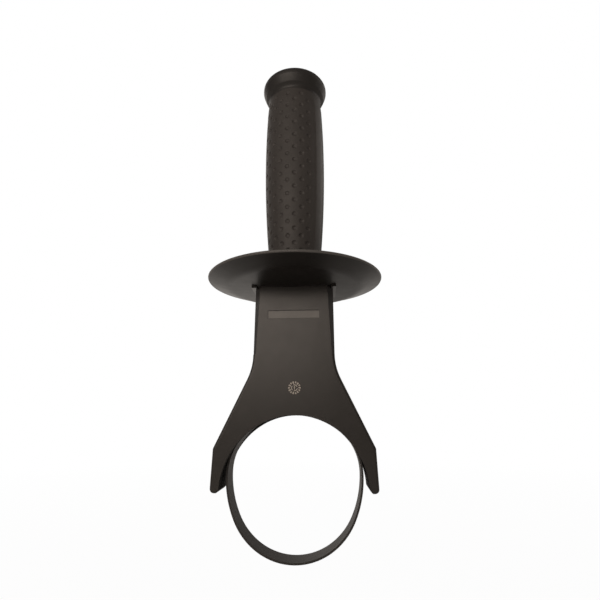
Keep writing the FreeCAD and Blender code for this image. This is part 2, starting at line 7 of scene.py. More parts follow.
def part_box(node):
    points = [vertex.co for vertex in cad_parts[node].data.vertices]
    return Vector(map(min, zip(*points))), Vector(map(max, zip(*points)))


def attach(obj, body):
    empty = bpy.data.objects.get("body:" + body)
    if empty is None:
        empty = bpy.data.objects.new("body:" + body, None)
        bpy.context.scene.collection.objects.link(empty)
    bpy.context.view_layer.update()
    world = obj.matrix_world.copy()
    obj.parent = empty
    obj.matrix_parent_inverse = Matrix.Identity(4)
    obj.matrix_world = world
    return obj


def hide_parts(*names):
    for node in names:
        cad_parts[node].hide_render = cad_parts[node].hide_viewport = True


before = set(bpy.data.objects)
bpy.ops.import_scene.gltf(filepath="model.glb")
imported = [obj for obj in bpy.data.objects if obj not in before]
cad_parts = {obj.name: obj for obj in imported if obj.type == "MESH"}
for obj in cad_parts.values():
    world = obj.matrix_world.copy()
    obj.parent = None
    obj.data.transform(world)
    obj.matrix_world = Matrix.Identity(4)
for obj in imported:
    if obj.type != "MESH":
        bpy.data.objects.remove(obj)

# Looks of the power tool side handle. Lengths in the builders below are millimetres in the part's
# frame: Z along the grip, Y along the collar's axis, origin at the centre of the band's round part.
MM = 0.001
SHARP_ANGLE = math.radians(35.0)
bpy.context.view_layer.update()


# Meshes


def mesh_object(name, points, faces, materials, indices=None):
    """Mesh object from points in millimetres, shaded smooth but for its sharp edges. The indices
    give each face its place in the list of materials."""
    mesh = bpy.data.meshes.new(name)
    mesh.from_pydata([(x * MM, y * MM, z * MM) for x, y, z in points], [], faces)
    for material in materials:
        mesh.materials.append(material)
    if indices:
        mesh.polygons.foreach_set("material_index", indices)
    mesh.shade_smooth()
    mesh.set_sharp_from_angle(angle=SHARP_ANGLE)
    mesh.update()
    piece = bpy.data.objects.new(name, mesh)
    bpy.context.scene.collection.objects.link(piece)
    return piece


def polar(radius, angle, z):
    return (radius * math.cos(angle), radius * math.sin(angle), z)


def arc(centre, radius, start, end, count):
    """Points on an arc from one angle to another, in degrees, both ends included."""
    points = []
    for step in range(count + 1):
        angle = math.radians(start + (end - start) * step / count)
        points.append((centre[0] + radius * math.cos(angle), centre[1] + radius * math.sin(angle)))
    return points


def lathe(name, profile, around, materials):
    """Closed surface turned about Z from a ring of (radius, z) points in order."""
    points = []
    faces = []
    for radius, z in profile:
        for step in range(around):
            points.append(polar(radius, 2 * math.pi * step / around, z))
    for row in range(len(profile)):
        here = row * around
        there = (row + 1) % len(profile) * around
        for step in range(around):
            ahead = (step + 1) % around
            faces.append((here + step, here + ahead, there + ahead, there + step))
    return mesh_object(name, points, faces, materials)


# Materials

# Colours, as linear red, green and blue.
BRACKET_COLOUR = (0.0180, 0.0155, 0.0137)
GUARD_COLOUR = (0.0100, 0.0084, 0.0073)
GRIP_COLOUR = (0.0320, 0.0270, 0.0240)
# The head is the grip's own plastic; its darker colour is painted shade.
HEAD_SHADED_COLOUR = (0.0150, 0.0130, 0.0118)
LABEL_COLOUR = (0.125, 0.114, 0.103)
MARK_COLOUR = (0.29, 0.25, 0.21)
# Painted highlight for the guard's rounded rim, where the lamp catches it.
RIM_HIGHLIGHT_COLOUR = (0.072, 0.065, 0.059)
OXIDE_DARK = (0.024, 0.0204, 0.0177)
OXIDE_PALE = (0.028, 0.0238, 0.0207)
ZINC_DARK = (0.50, 0.50, 0.50)
ZINC_PALE = (0.66, 0.65, 0.62)
SPECULAR_TINT = (1.0, 0.93, 0.86)

# Parts of the noise's range that are spread over a material's whole range.
NOISE_CORE = (0.35, 0.65)
NOISE_WIDE = (0.3, 0.7)
SPECK_RANGE = (0.45, 0.7)

# Moulded plastic: sizes and depths in millimetres, the rest as shares of the colour or roughness.
CLOUD_SIZE = 9.0
CLOUD_CONTRAST = 0.06
SPECK_SHARE = 0.2
SPECK_GAIN = 1.4
GLOSS_SIZE = 5.0
GLOSS_SPREAD = 0.02
WAVE_SIZE = 14.0
WAVE_DEPTH = 0.012
# Share of the colour kept under the painted shade where the bracket faces the collar's axis.
PAINTED_SHADE_SHARE = 0.4
DULL_ROUGHNESS = 0.9

# Cosines of the angle to the collar's axis between which the bracket's surface turns dull and takes
# painted shade, the heights over which that ends, and the radii over which the guard's rim takes a
# painted highlight.
INWARD_COSINES = (0.35, 0.75)
DULL_AND_SHADE_END = (42.0, 46.0)
RIM_HIGHLIGHT_START = (48.6, 49.1)


class Tree:
    """Nodes of one material, with its Principled shader."""

    def __init__(self, name):
        self.material = bpy.data.materials.new(name)
        self.material.use_nodes = True
        self.nodes = self.material.node_tree.nodes
        self.links = self.material.node_tree.links
        self.shader = self.nodes["Principled BSDF"]
        self.place = self.add("ShaderNodeTexCoord").outputs["Object"]

    def add(self, kind, inputs=None, **settings):
        """New node. An input is either a number or the output that feeds it."""
        node = self.nodes.new(kind)
        for key, setting in settings.items():
            setattr(node, key, setting)
        for key, source in (inputs or {}).items():
            if isinstance(source, bpy.types.NodeSocket):
                self.links.new(source, node.inputs[key])
            else:
                node.inputs[key].default_value = source
        return node

    def noise(self, size, detail, stretch=(1.0, 1.0, 1.0)):
        """Noise between 0 and 1 with features of a given size in millimetres."""
        place = self.place
        if stretch != (1.0, 1.0, 1.0):
            place = self.add("ShaderNodeMapping", {"Vector": place, "Scale": stretch}).outputs[0]
        return self.add("ShaderNodeTexNoise", {
            "Vector": place, "Scale": 1.0 / (size * MM), "Detail": detail}).outputs["Fac"]

    def remap(self, source, low, high, new_low=0.0, new_high=1.0):
        return self.add("ShaderNodeMapRange", {
            "Value": source, "From Min": low, "From Max": high,
            "To Min": new_low, "To Max": new_high}).outputs["Result"]

    def math(self, operation, first, second):
        return self.add("ShaderNodeMath", {0: first, 1: second}, operation=operation).outputs[0]

    def blend(self, factor, first, second):
        """Mix of two colours, each an (r, g, b) or an output."""
        node = self.add("ShaderNodeMix", {"Factor": factor}, data_type="RGBA")
        for socket, colour in ((node.inputs[6], first), (node.inputs[7], second)):
            if isinstance(colour, bpy.types.NodeSocket):
                self.links.new(colour, socket)
            else:
                socket.default_value = (*colour, 1.0)
        return node.outputs[2]

    def bump(self, height, depth, base=None):
        """Bump whose height of 1 is a given depth in millimetres."""
        inputs = {"Height": height, "Distance": depth * MM, "Strength": 1.0}
        if base is not None:
            inputs["Normal"] = base
        return self.add("ShaderNodeBump", inputs).outputs["Normal"]

    def finish(self, colour, roughness, normal):
        self.links.new(colour, self.shader.inputs["Base Color"])
        self.links.new(roughness, self.shader.inputs["Roughness"])
        self.links.new(normal, self.shader.inputs["Normal"])
        return self.material


def scaled(colour, factor):
    return tuple(channel * factor for channel in colour)


def moulded_plastic(name, colour, roughness, grain=0.35, grain_depth=0.012, level=0.3, dull_and_shade=None,
                    bright=None):
    """Dark moulded plastic with a spark-eroded grain, faint clouds and a slightly uneven gloss.
    A function of the tree can mark where the surface is dull and darkened with painted shade, and
    another where it is lightened with a painted highlight."""
    tree = Tree(name)
    fine = tree.noise(grain, 2.0)
    tone = tree.remap(tree.noise(CLOUD_SIZE, 3.0), *NOISE_CORE)
    shade = tree.blend(tone, scaled(colour, 1 - CLOUD_CONTRAST), scaled(colour, 1 + CLOUD_CONTRAST))
    speck = tree.remap(fine, *SPECK_RANGE, 0.0, SPECK_SHARE)
    shade = tree.blend(speck, shade, scaled(colour, SPECK_GAIN))
    gloss = tree.remap(tree.noise(GLOSS_SIZE, 3.0), *NOISE_WIDE,
                       roughness - GLOSS_SPREAD, roughness + GLOSS_SPREAD)
    if dull_and_shade:
        share = dull_and_shade(tree)
        # Painted shade on the faces towards the collar's axis, which also turn rougher.
        shade = tree.blend(share, shade, scaled(colour, PAINTED_SHADE_SHARE))
        gloss = tree.math("MAXIMUM", gloss, tree.remap(share, 0.0, 1.0, 0.0, DULL_ROUGHNESS))
    if bright:
        # Painted highlight on the guard's outer rim.
        shade = tree.blend(bright(tree), shade, RIM_HIGHLIGHT_COLOUR)
    wave = tree.bump(tree.noise(WAVE_SIZE, 1.0), WAVE_DEPTH)
    normal = tree.bump(fine, grain_depth, wave)
    tree.shader.inputs["Specular IOR Level"].default_value = level
    tree.shader.inputs["Specular Tint"].default_value = (*SPECULAR_TINT, 1.0)
    return tree.finish(shade, gloss, normal)


def facing_axis(tree):
    """1 on the saddle and the arms' inner sides, which face the collar's axis and get painted shade."""
    flat = tree.add("ShaderNodeVectorMath", {0: tree.place, 1: (-1.0, 0.0, -1.0)}, operation="MULTIPLY")
    inward = tree.add("ShaderNodeVectorMath", {0: flat.outputs[0]}, operation="NORMALIZE").outputs[0]
    normal = tree.add("ShaderNodeTexCoord").outputs["Normal"]
    facing = tree.add("ShaderNodeVectorMath", {0: normal, 1: inward}, operation="DOT_PRODUCT")
    height = tree.add("ShaderNodeSeparateXYZ", {0: tree.place}).outputs["Z"]
    start, end = DULL_AND_SHADE_END
    return tree.math("MULTIPLY", tree.remap(facing.outputs["Value"], *INWARD_COSINES),
                     tree.remap(height, start * MM, end * MM, 1.0, 0.0))


def rim_highlight_mask(tree):
    """1 on the hand guard's outermost edge, which gets a painted highlight."""
    flat = tree.add("ShaderNodeVectorMath", {0: tree.place, 1: (1.0, 1.0, 0.0)}, operation="MULTIPLY")
    reach = tree.add("ShaderNodeVectorMath", {0: flat.outputs[0]}, operation="LENGTH").outputs["Value"]
    start, end = RIM_HIGHLIGHT_START
    return tree.remap(reach, start * MM, end * MM)


def black_steel(name):
    """Blackened spring steel: a dull brown-black oxide with fine rolling marks."""
    tree = Tree(name)
    streak = tree.noise(size=1.2, detail=2.0)
    tone = tree.remap(tree.noise(size=8.0, detail=1.0), *NOISE_CORE)
    shade = tree.blend(tone, OXIDE_DARK, OXIDE_PALE)
    gloss = tree.remap(streak, *NOISE_WIDE, new_low=0.56, new_high=0.60)
    normal = tree.bump(streak, depth=0.0006)
    tree.shader.inputs["Metallic"].default_value = 0.3
    tree.shader.inputs["Specular IOR Level"].default_value = 0.28
    return tree.finish(shade, gloss, normal)


def plated_steel(name):
    """Zinc-plated turned steel of the hidden rod, block and rivets."""
    tree = Tree(name)
    marks = tree.noise(size=0.3, detail=2.0, stretch=(1.0, 1.0, 6.0))
    cloud = tree.noise(size=5.0, detail=3.0)
    shade = tree.blend(cloud, ZINC_DARK, ZINC_PALE)
    gloss = tree.remap(marks, *NOISE_WIDE, new_low=0.28, new_high=0.42)
    normal = tree.bump(marks, depth=0.006)
    tree.shader.inputs["Metallic"].default_value = 1.0
    return tree.finish(shade, gloss, normal)


bracket_plastic = moulded_plastic("bracket_plastic", BRACKET_COLOUR, roughness=0.30,
                                  grain_depth=0.007, level=0.27, dull_and_shade=facing_axis)
guard_plastic = moulded_plastic("guard_plastic", GUARD_COLOUR, roughness=0.38, grain=0.3,
                                grain_depth=0.006, level=0.22, bright=rim_highlight_mask)
grip_plastic = moulded_plastic("grip_plastic", GRIP_COLOUR, roughness=0.58, grain=0.28)
grip_smooth = moulded_plastic("grip_smooth", GRIP_COLOUR, roughness=0.52, grain=0.3,
                              grain_depth=0.004)
# The head: a glossier finish of the grip's plastic, with painted shade in its darker colour.
head_shaded_plastic = moulded_plastic("head_shaded_plastic", HEAD_SHADED_COLOUR, roughness=0.48, grain=0.3,
                               grain_depth=0.004)
label_plastic = moulded_plastic("label_plastic", LABEL_COLOUR, roughness=0.60, grain=0.25,
                                grain_depth=0.03)
mark_plastic = moulded_plastic("mark_plastic", MARK_COLOUR, roughness=0.60, grain=0.25,
                               grain_depth=0.01)
band_steel = black_steel("band_steel")
zinc_steel = plated_steel("plated_steel")


# Grip

GRIP_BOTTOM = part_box("grip")[0].z / MM
FOOT_TOP = GRIP_BOTTOM + 2.5
WAIST_Z = GRIP_BOTTOM + 18.6
BELLY_Z = WAIST_Z + 62.0
NECK_Z = BELLY_Z + 34.0
HEAD_Z = NECK_Z + 19.0

# Foot: an upright wall with a rounded lower edge, round the washer's recess. Its rows of mesh end
# short of the first row of the dimples.
FOOT_RADIUS = 15.917
FOOT_ROUND = 0.8
FOOT_RECESS = 10.3
FOOT_WALL_TOP = 109.2
FOOT_ROW_HEIGHT = 1.05
FOOT_ROW_GAP = 0.5

# Waist: a hollow arc, with the radius and height of its centre. Belly: a full arc. Neck: its
# radius at the lower end, and how it falls with the height and with the height squared.
WAIST_CENTRE = (85.226, 119.69)
WAIST_CURVE = 70.0
BELLY_RADIUS = 18.3
BELLY_CURVE = 690.0
NECK_RADIUS = 17.462
NECK_SLOPE = 0.0493
NECK_BEND = 0.00555

# Hollow under the head: where it starts, its radius, the outline's direction at its ends, and the
# rows of mesh in it. The head's finish starts a little lower.
HOLLOW_Z = NECK_Z + 10.0
HOLLOW_RADIUS = 2.2
HOLLOW_START, HOLLOW_END = math.radians(99.1), math.radians(40)
HOLLOW_ROWS = (232.1, 233.1)
HEAD_FINISH_DROP = 0.6

# Head: the lip's offset from the hollow's end and its round, the flank's direction and the point
# where it ends below the rim, the rim's lower round, the crown's round and its flat dome.
HEAD_RADIUS = 20.3
LIP_OFFSET = (0.92, 0.77)
LIP_ROUND = 2.0
FLANK_DIRECTION = -22
FLANK_RADIUS = 19.42
FLANK_DROP = 3.68
RIM_ROUND = 3.3
RIM_DROP = 0.7
CROWN_ROUND = 4.2
CROWN_DOME = 0.8
DOME_SHARES = (0.8, 0.6, 0.4, 0.2)

# The dimples stand in 26 columns round the grip, 10 on each panel and 3 plain ones between the
# panels. A column is 4 mesh steps wide and a dimple's cell 8 rows high, so that neighbouring
# columns can be staggered by half a cell.
COLUMNS = 26
HALF_COLUMNS = COLUMNS // 2
PLAIN_COLUMNS = 3
FIRST_PLAIN = 3
COLUMN_STEPS = 4
STEPS = COLUMN_STEPS * COLUMNS
HALF_STEPS = STEPS // 2
STEP_ANGLE = 2 * math.pi / STEPS
FIRST_COLUMN = math.radians(-87.32)
DIMPLE_PITCH = 8.55
CELLS = 13
CELL_ROWS = 8
HALF_CELL = CELL_ROWS // 2
ROW_HEIGHT = DIMPLE_PITCH / CELL_ROWS
FIRST_ROW_Z = 120.375
BODY_ROWS = CELLS * CELL_ROWS
# Rings of a dimple, each with its radius and depth, and the depth in the middle.
DIMPLE_RINGS = [(1.85, 0.0), (1.42, 0.0), (1.30, 0.07), (1.08, 0.26), (0.80, 0.42), (0.42, 0.50)]
DIMPLE_DEPTH = 0.52
# Places of the mesh steps across the plain columns, in degrees, close together at the panels' edges.
PLAIN_STEPS = [0, 3.6, 7.0, 8.2, 9.0, 13, 20.77, 28.54, 32.54, 33.34, 34.54, 37.94]
# A panel's middle lies two and a half columns before the first column.
PANEL_MIDDLE = FIRST_COLUMN - 2.5 * COLUMN_STEPS * STEP_ANGLE
PANEL_HALF_ANGLE = math.radians(77.8)
PANEL_LOW = 118.5
PANEL_HIGH = 231.2
PANEL_CORNER = 10.0
PANEL_STEP = 0.18
PANEL_EDGE = 0.5

# Places of the finishes in the grip's list of materials.
PANEL_FINISH, PLAIN_FINISH, HEAD_FINISH = range(3)


def grip_radius(z):
    """Radius of the grip's body from the top of its foot to the end of the hollow under the head."""
    if z < WAIST_Z:
        return WAIST_CENTRE[0] - math.sqrt(WAIST_CURVE ** 2 - (z - WAIST_CENTRE[1]) ** 2)
    if z < NECK_Z:
        return BELLY_RADIUS - BELLY_CURVE + math.sqrt(BELLY_CURVE ** 2 - (z - BELLY_Z) ** 2)
    rise = min(z, HOLLOW_Z) - NECK_Z
    radius = NECK_RADIUS - NECK_SLOPE * rise - NECK_BEND * rise ** 2
    if z > HOLLOW_Z:
        direction = math.acos((z - HOLLOW_Z) / HOLLOW_RADIUS + math.cos(HOLLOW_START))
        radius += HOLLOW_RADIUS * (math.sin(HOLLOW_START) - math.sin(direction))
    return radius


def column_type(column):
    """0 for a plain column, 1 and 2 for the two staggered kinds of dimpled ones."""
    place = (column - FIRST_PLAIN) % HALF_COLUMNS
    if place < PLAIN_COLUMNS:
        return 0
    return 1 if (place - PLAIN_COLUMNS) % 2 == 0 else 2


def step_angle(step):
    """Angle round the grip of a mesh step."""
    plain_start = FIRST_PLAIN * COLUMN_STEPS
    half, place = divmod(step - plain_start, HALF_STEPS)
    if place < len(PLAIN_STEPS):
        whole = half * HALF_STEPS + plain_start - COLUMN_STEPS // 2
        return FIRST_COLUMN + whole * STEP_ANGLE + math.radians(PLAIN_STEPS[place])
    return FIRST_COLUMN + (step - COLUMN_STEPS // 2) * STEP_ANGLE


def panel_depth(angle, z, radius):
    """How far the surface lies below the plain strips: the step of the panel inside its rounded
    outline, nothing outside."""
    turn = (angle - PANEL_MIDDLE + math.pi / 2) % math.pi - math.pi / 2
    half_width = PANEL_HALF_ANGLE * radius
    across = abs(turn) * radius - (half_width - PANEL_CORNER)
    up = abs(z - (PANEL_LOW + PANEL_HIGH) / 2) - ((PANEL_HIGH - PANEL_LOW) / 2 - PANEL_CORNER)
    outside = math.hypot(max(across, 0.0), max(up, 0.0)) + min(max(across, up), 0.0) - PANEL_CORNER
    share = min(max(0.5 - outside / PANEL_EDGE, 0.0), 1.0)
    return PANEL_STEP * share * share * (3 - 2 * share)


def foot_profile():
    """Foot of the grip and the start of its waist, as (radius, z) points below the body rows."""
    profile = [(FOOT_RECESS, GRIP_BOTTOM)]
    profile += arc((FOOT_RADIUS - FOOT_ROUND, GRIP_BOTTOM + FOOT_ROUND), FOOT_ROUND, -90, 0, 6)
    profile.append((FOOT_RADIUS, FOOT_WALL_TOP))
    count = math.ceil((FIRST_ROW_Z - FOOT_ROW_GAP - FOOT_TOP) / FOOT_ROW_HEIGHT)
    for row in range(count):
        z = FOOT_TOP + row * FOOT_ROW_HEIGHT
        profile.append((grip_radius(z), z))
    return profile


def head_profile():
    """Head of the grip, as (radius, z) points above the body rows, up to the dome's last ring."""
    z = HOLLOW_Z + HOLLOW_RADIUS * (math.cos(HOLLOW_END) - math.cos(HOLLOW_START))
    profile = [(grip_radius(z), z)]
    lip = (profile[0][0] + LIP_OFFSET[0], z + LIP_OFFSET[1])
    lip_centre = (lip[0] - LIP_ROUND * math.sin(HOLLOW_END), lip[1] + LIP_ROUND * math.cos(HOLLOW_END))
    profile += arc(lip_centre, LIP_ROUND, math.degrees(HOLLOW_END) - 90, FLANK_DIRECTION, 4)
    profile.append((FLANK_RADIUS, HEAD_Z - FLANK_DROP))
    profile += arc((HEAD_RADIUS - RIM_ROUND, HEAD_Z - RIM_DROP), RIM_ROUND, FLANK_DIRECTION, 0, 4)
    dome_radius = HEAD_RADIUS - CROWN_ROUND
    profile += arc((dome_radius, HEAD_Z), CROWN_ROUND, 0, 90, 12)
    for share in DOME_SHARES:
        profile.append((dome_radius * share, HEAD_Z + CROWN_ROUND + CROWN_DOME * (1 - share ** 2)))
    return profile


def build_grip():
    """Barrel grip with two panels of round dimples and a mushroom head."""
    points = []
    faces = []
    indices = []
    grid = {}
    rows = [("edge", radius, z) for radius, z in foot_profile()]
    first = len(rows)
    rows += [("body", None, FIRST_ROW_Z + row * ROW_HEIGHT) for row in range(BODY_ROWS + 1)]
    rows += [("body", None, z) for z in HOLLOW_ROWS]
    rows += [("edge", radius, z) for radius, z in head_profile()]

    def surface(angle, z, extra=0.0):
        """Point on the body, below the surface by an extra depth."""
        radius = grip_radius(z)
        return polar(radius - panel_depth(angle, z, radius) - extra, angle, z)

    def corner(step, row):
        """Shared grid point, made when it is first used."""
        key = (step % STEPS, row)
        if key not in grid:
            kind, radius, z = rows[row]
            angle = step_angle(key[0])
            grid[key] = len(points)
            points.append(polar(radius, angle, z) if kind == "edge" else surface(angle, z))
        return grid[key]

    def add_face(corners, finish):
        faces.append(corners)
        indices.append(finish)

    def surface_finish(step, row):
        """Finish of the quad above a row: the head's, the plain parts' or the panels'."""
        kind, radius, z = rows[row]
        if z > HOLLOW_Z - HEAD_FINISH_DROP:
            return HEAD_FINISH
        if kind == "edge":
            return PLAIN_FINISH
        angle = step_angle(step % STEPS) + STEP_ANGLE / 2
        inside = panel_depth(angle, z + ROW_HEIGHT / 2, grip_radius(z)) > PANEL_STEP / 2
        return PANEL_FINISH if inside else PLAIN_FINISH

    def add_dimple(column, row):
        """Cell of one dimple: rings from the cell's edge down to the middle of the hollow."""
        left = column * COLUMN_STEPS
        right = left + COLUMN_STEPS
        edge = [(right, row + HALF_CELL + k) for k in range(HALF_CELL)]
        edge += [(right - k, row + CELL_ROWS) for k in range(COLUMN_STEPS)]
        edge += [(left, row + CELL_ROWS - k) for k in range(CELL_ROWS)]
        edge += [(left + k, row) for k in range(COLUMN_STEPS)]
        edge += [(right, row + k) for k in range(HALF_CELL)]
        ring = [corner(step, at) for step, at in edge]
        middle_angle = step_angle((left + COLUMN_STEPS // 2) % STEPS)
        middle_z = rows[row + HALF_CELL][2]
        count = len(ring)
        for reach, depth in DIMPLE_RINGS:
            inner = []
            for k in range(count):
                turn = 2 * math.pi * k / count
                z = middle_z + reach * math.sin(turn)
                angle = middle_angle + reach * math.cos(turn) / grip_radius(middle_z)
                inner.append(len(points))
                points.append(surface(angle, z, depth))
            for k in range(count):
                ahead = (k + 1) % count
                add_face((ring[k], ring[ahead], inner[ahead], inner[k]), PANEL_FINISH)
            ring = inner
        tip = len(points)
        points.append(surface(middle_angle, middle_z, DIMPLE_DEPTH))
        for k in range(count):
            add_face((ring[k], ring[(k + 1) % count], tip), PANEL_FINISH)

    covered = set()
    for column in range(COLUMNS):
        kind = column_type(column)
        if not kind:
            continue
        start, cells = (first, CELLS) if kind == 1 else (first + HALF_CELL, CELLS - 1)
        for cell in range(cells):
            row = start + cell * CELL_ROWS
            add_dimple(column, row)
            covered.update((column * COLUMN_STEPS + k, row + j)
                           for k in range(COLUMN_STEPS) for j in range(CELL_ROWS))
    last = len(rows) - 1
    for row in range(last):
        for step in range(STEPS):
            if (step, row) in covered:
                continue
            quad = (corner(step, row), corner(step + 1, row),
                    corner(step + 1, row + 1), corner(step, row + 1))
            add_face(quad, surface_finish(step, row))
    summit = len(points)
    points.append((0.0, 0.0, HEAD_Z + CROWN_ROUND + CROWN_DOME))
    for step in range(STEPS):
        add_face((corner(step, last), corner(step + 1, last), summit), HEAD_FINISH)
    return mesh_object("grip_body", points, faces,
                       [grip_plastic, grip_smooth, head_shaded_plastic], indices)


grip = build_grip()
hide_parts("grip")
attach(grip, "grip")


# Hand guard

# Underside: two cones, the height that the inner one would reach on the axis, the radius of the
# crease between them, and how far to each side of it the crease is softened.
GUARD_APEX_Z = 103.95
DISH_SLOPE = math.tan(math.radians(3.5))
FLANGE_SLOPE = math.tan(math.radians(19.0))
CREASE_RADIUS = 38.0
CREASE_SOFT = 2.2
FLANGE_WIDTH = 11.3

# Wall, and how much thinner it gets across the flange.
GUARD_WALL = 2.0
WALL_TAPER = 0.4

# Radii of the rings of mesh: the bore and the inner rings, then evenly out to the rounded edge, and
# back in to the seat.
GUARD_BORE = 4.5
INNER_RINGS = (12.0, 20.0, 28.0)
RING_GAP = 0.8
FIRST_OUTWARD, OUTWARD_RINGS = 32.0, 21
FIRST_INWARD, INWARD_RINGS = 47.2, 35
EDGE_CENTRE = 48.5
EDGE_ROUND = 0.8
GUARD_STEPS = 160

# Flat seat under the grip: its height and rings, and the point where it turns into the dish.
SEAT_Z = 107.081
SEAT_RINGS = (18.2, 10.0, GUARD_BORE)
SEAT_BEND = (19.0, 107.12)


def guard_underside(radius):
    """Height of the guard's underside, with a parabola across the crease."""
    past = radius - CREASE_RADIUS
    if past > CREASE_SOFT:
        return GUARD_APEX_Z + CREASE_RADIUS * DISH_SLOPE + past * FLANGE_SLOPE
    height = GUARD_APEX_Z + radius * DISH_SLOPE
    if past > -CREASE_SOFT:
        height += (FLANGE_SLOPE - DISH_SLOPE) * (past + CREASE_SOFT) ** 2 / (4 * CREASE_SOFT)
    return height


def guard_topside(radius):
    """Height of the guard's upper side."""
    past = max(radius - CREASE_RADIUS, 0.0)
    return guard_underside(radius) + GUARD_WALL - WALL_TAPER * past / FLANGE_WIDTH


def build_guard():
    """Dished disc with a bore, a soft crease, a thin rounded edge and a flat seat under the grip."""
    outward = [FIRST_OUTWARD + ring * RING_GAP for ring in range(OUTWARD_RINGS)]
    inward = [FIRST_INWARD - ring * RING_GAP for ring in range(INWARD_RINGS)]
    profile = [(radius, guard_underside(radius)) for radius in (GUARD_BORE, *INNER_RINGS, *outward)]
    edge_z = guard_underside(EDGE_CENTRE) + EDGE_ROUND
    profile += arc((EDGE_CENTRE, edge_z), EDGE_ROUND, -70, 85, 9)
    profile += [(radius, guard_topside(radius)) for radius in inward]
    profile.append(SEAT_BEND)
    profile += [(radius, SEAT_Z) for radius in SEAT_RINGS]
    return lathe("guard_disc", profile, GUARD_STEPS, [guard_plastic])


guard = build_guard()
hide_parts("hand_guard")
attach(guard, "bracket")


# Nodes of the CAD model that stay as they are

for node, material in (("bracket", bracket_plastic), ("clamp_band", band_steel),
                       ("anchor_block", zinc_steel), ("rivet_front", zinc_steel),
                       ("rivet_back", zinc_steel), ("tension_rod", zinc_steel),
                       ("grip_insert", zinc_steel), ("thrust_washer", zinc_steel)):
    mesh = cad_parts[node].data
    mesh.materials.clear()
    mesh.materials.append(material)


# Marks on the bracket's front

FRONT_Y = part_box("bracket")[0].y / MM

# Bare field: middle height, half sizes, and the depths of its front and back in the recess.
LABEL_MIDDLE = 88.95
LABEL_HALF = (13.8, 2.0)
LABEL_FRONT = 0.4
LABEL_BACK = 0.5

# Date wheel: its middle, the ring of marks with every second one shorter, the inner arcs, and an
# arrow with its heights counted from the middle.
WHEEL_MIDDLE = (0.42, 49.85)
WHEEL_HEIGHT = 0.05
WHEEL_MARKS = 14
MARK_INNER, MARK_OUTER = 2.05, 3.25
MARK_STAGGER = 0.3
MARK_HALF_ANGLE = 7.5
ARC_INNER, ARC_OUTER = 1.3, 1.75
ARC_STARTS = (20, 140, 260)
ARC_ANGLE = 90
SHAFT_HALF_WIDTH = 0.17
SHAFT_LOW = 0.9
BARB_HALF_WIDTH = 0.5
BARB_Z, ARROW_TIP = 0.2, 0.95


def slabs(name, outlines, front, back, material):
    """Flat pieces on the bracket's front: outlines of (x, z) points, each with a front at one depth
    and sides back to another."""
    points = []
    faces = []
    for outline in outlines:
        count = len(outline)
        first = len(points)
        points += [(x, front, z) for x, z in outline] + [(x, back, z) for x, z in outline]
        faces.append([first + k for k in range(count)])
        for k in range(count):
            ahead = (k + 1) % count
            faces.append([first + k, first + count + k, first + count + ahead, first + ahead])
    return mesh_object(name, points, faces, [material])


def sector(inner, outer, start, end):
    """Piece of a ring round the date wheel's middle, between two angles in degrees."""
    return arc(WHEEL_MIDDLE, outer, start, end, 3) + arc(WHEEL_MIDDLE, inner, end, start, 3)


def build_date_wheel():
    """Moulded date wheel: a ring of short marks and an arrow, with no characters."""
    outlines = []
    for mark in range(WHEEL_MARKS):
        angle = 360 * mark / WHEEL_MARKS
        inner = MARK_INNER + MARK_STAGGER * (mark % 2)
        outlines.append(sector(inner, MARK_OUTER, angle - MARK_HALF_ANGLE, angle + MARK_HALF_ANGLE))
    for start in ARC_STARTS:
        outlines.append(sector(ARC_INNER, ARC_OUTER, start, start + ARC_ANGLE))
    x, z = WHEEL_MIDDLE
    outlines.append([(x - SHAFT_HALF_WIDTH, z - SHAFT_LOW), (x + SHAFT_HALF_WIDTH, z - SHAFT_LOW),
                     (x + SHAFT_HALF_WIDTH, z + BARB_Z), (x - SHAFT_HALF_WIDTH, z + BARB_Z)])
    outlines.append([(x - BARB_HALF_WIDTH, z + BARB_Z), (x + BARB_HALF_WIDTH, z + BARB_Z),
                     (x, z + ARROW_TIP)])
    return slabs("date_wheel", outlines, FRONT_Y - WHEEL_HEIGHT, FRONT_Y, mark_plastic)


def build_label():
    """Bare paler field at the bottom of the recess."""
    across, up = LABEL_HALF
    low, high = LABEL_MIDDLE - up, LABEL_MIDDLE + up
    outline = [(-across, low), (across, low), (across, high), (-across, high)]
    return slabs("label_field", [outline], FRONT_Y + LABEL_FRONT, FRONT_Y + LABEL_BACK, label_plastic)


for mark in (build_date_wheel(), build_label()):
    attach(mark, "bracket")


# Stage, light and camera. Lengths from here on are metres.

WHITE = (1.0, 1.0, 1.0)
WARM_WHITE = (1.0, 0.94, 0.88)

# Direction of the white backdrop's middle, the cosines over which it fades in, and how bright the
# room is elsewhere, where 1 is white.
BACKDROP = (-0.2, 0.97, -0.12)
BACKDROP_EDGE = (0.78, 0.98)
DIM_LEVEL = 0.22

# Floor, with its height and half size in millimetres as in the other meshes.
FLOOR_Z = -120.0
FLOOR_HALF = 4000.0
PAPER_COLOUR = (0.8, 0.8, 0.8)

# How bright the floor looks, each as two places and the levels there: in the object's gloss to the
# left, to the right and towards the back, and to the camera with the distance from the middle.
MIRRORED_LEFT = (-0.12, 0.05, 0.95, 0.15)
MIRRORED_RIGHT = (0.15, 0.4, 0.15, 1.0)
MIRRORED_BACK = (0.05, 0.5, 0.1, 1.0)
SEEN_OUTWARD = (0.3, 1.5, 0.965, 1.0)

# Lamps: name, place, target, width, height, and brightness, where 1 is white.
LAMP_COLOUR = (1.0, 0.94, 0.89)
LAMPS = (
    ("key_light", (-0.34, -0.89, 0.38), (0.0, 0.0, 0.07), 0.85, 0.50, 4.6),
    ("side_light", (0.85, 0.45, 0.75), (0.0, 0.0, 0.15), 1.2, 0.45, 1.2),
    ("back_light", (-0.55, 0.80, 0.75), (0.0, 0.0, 0.12), 0.9, 0.6, 1.3),
)

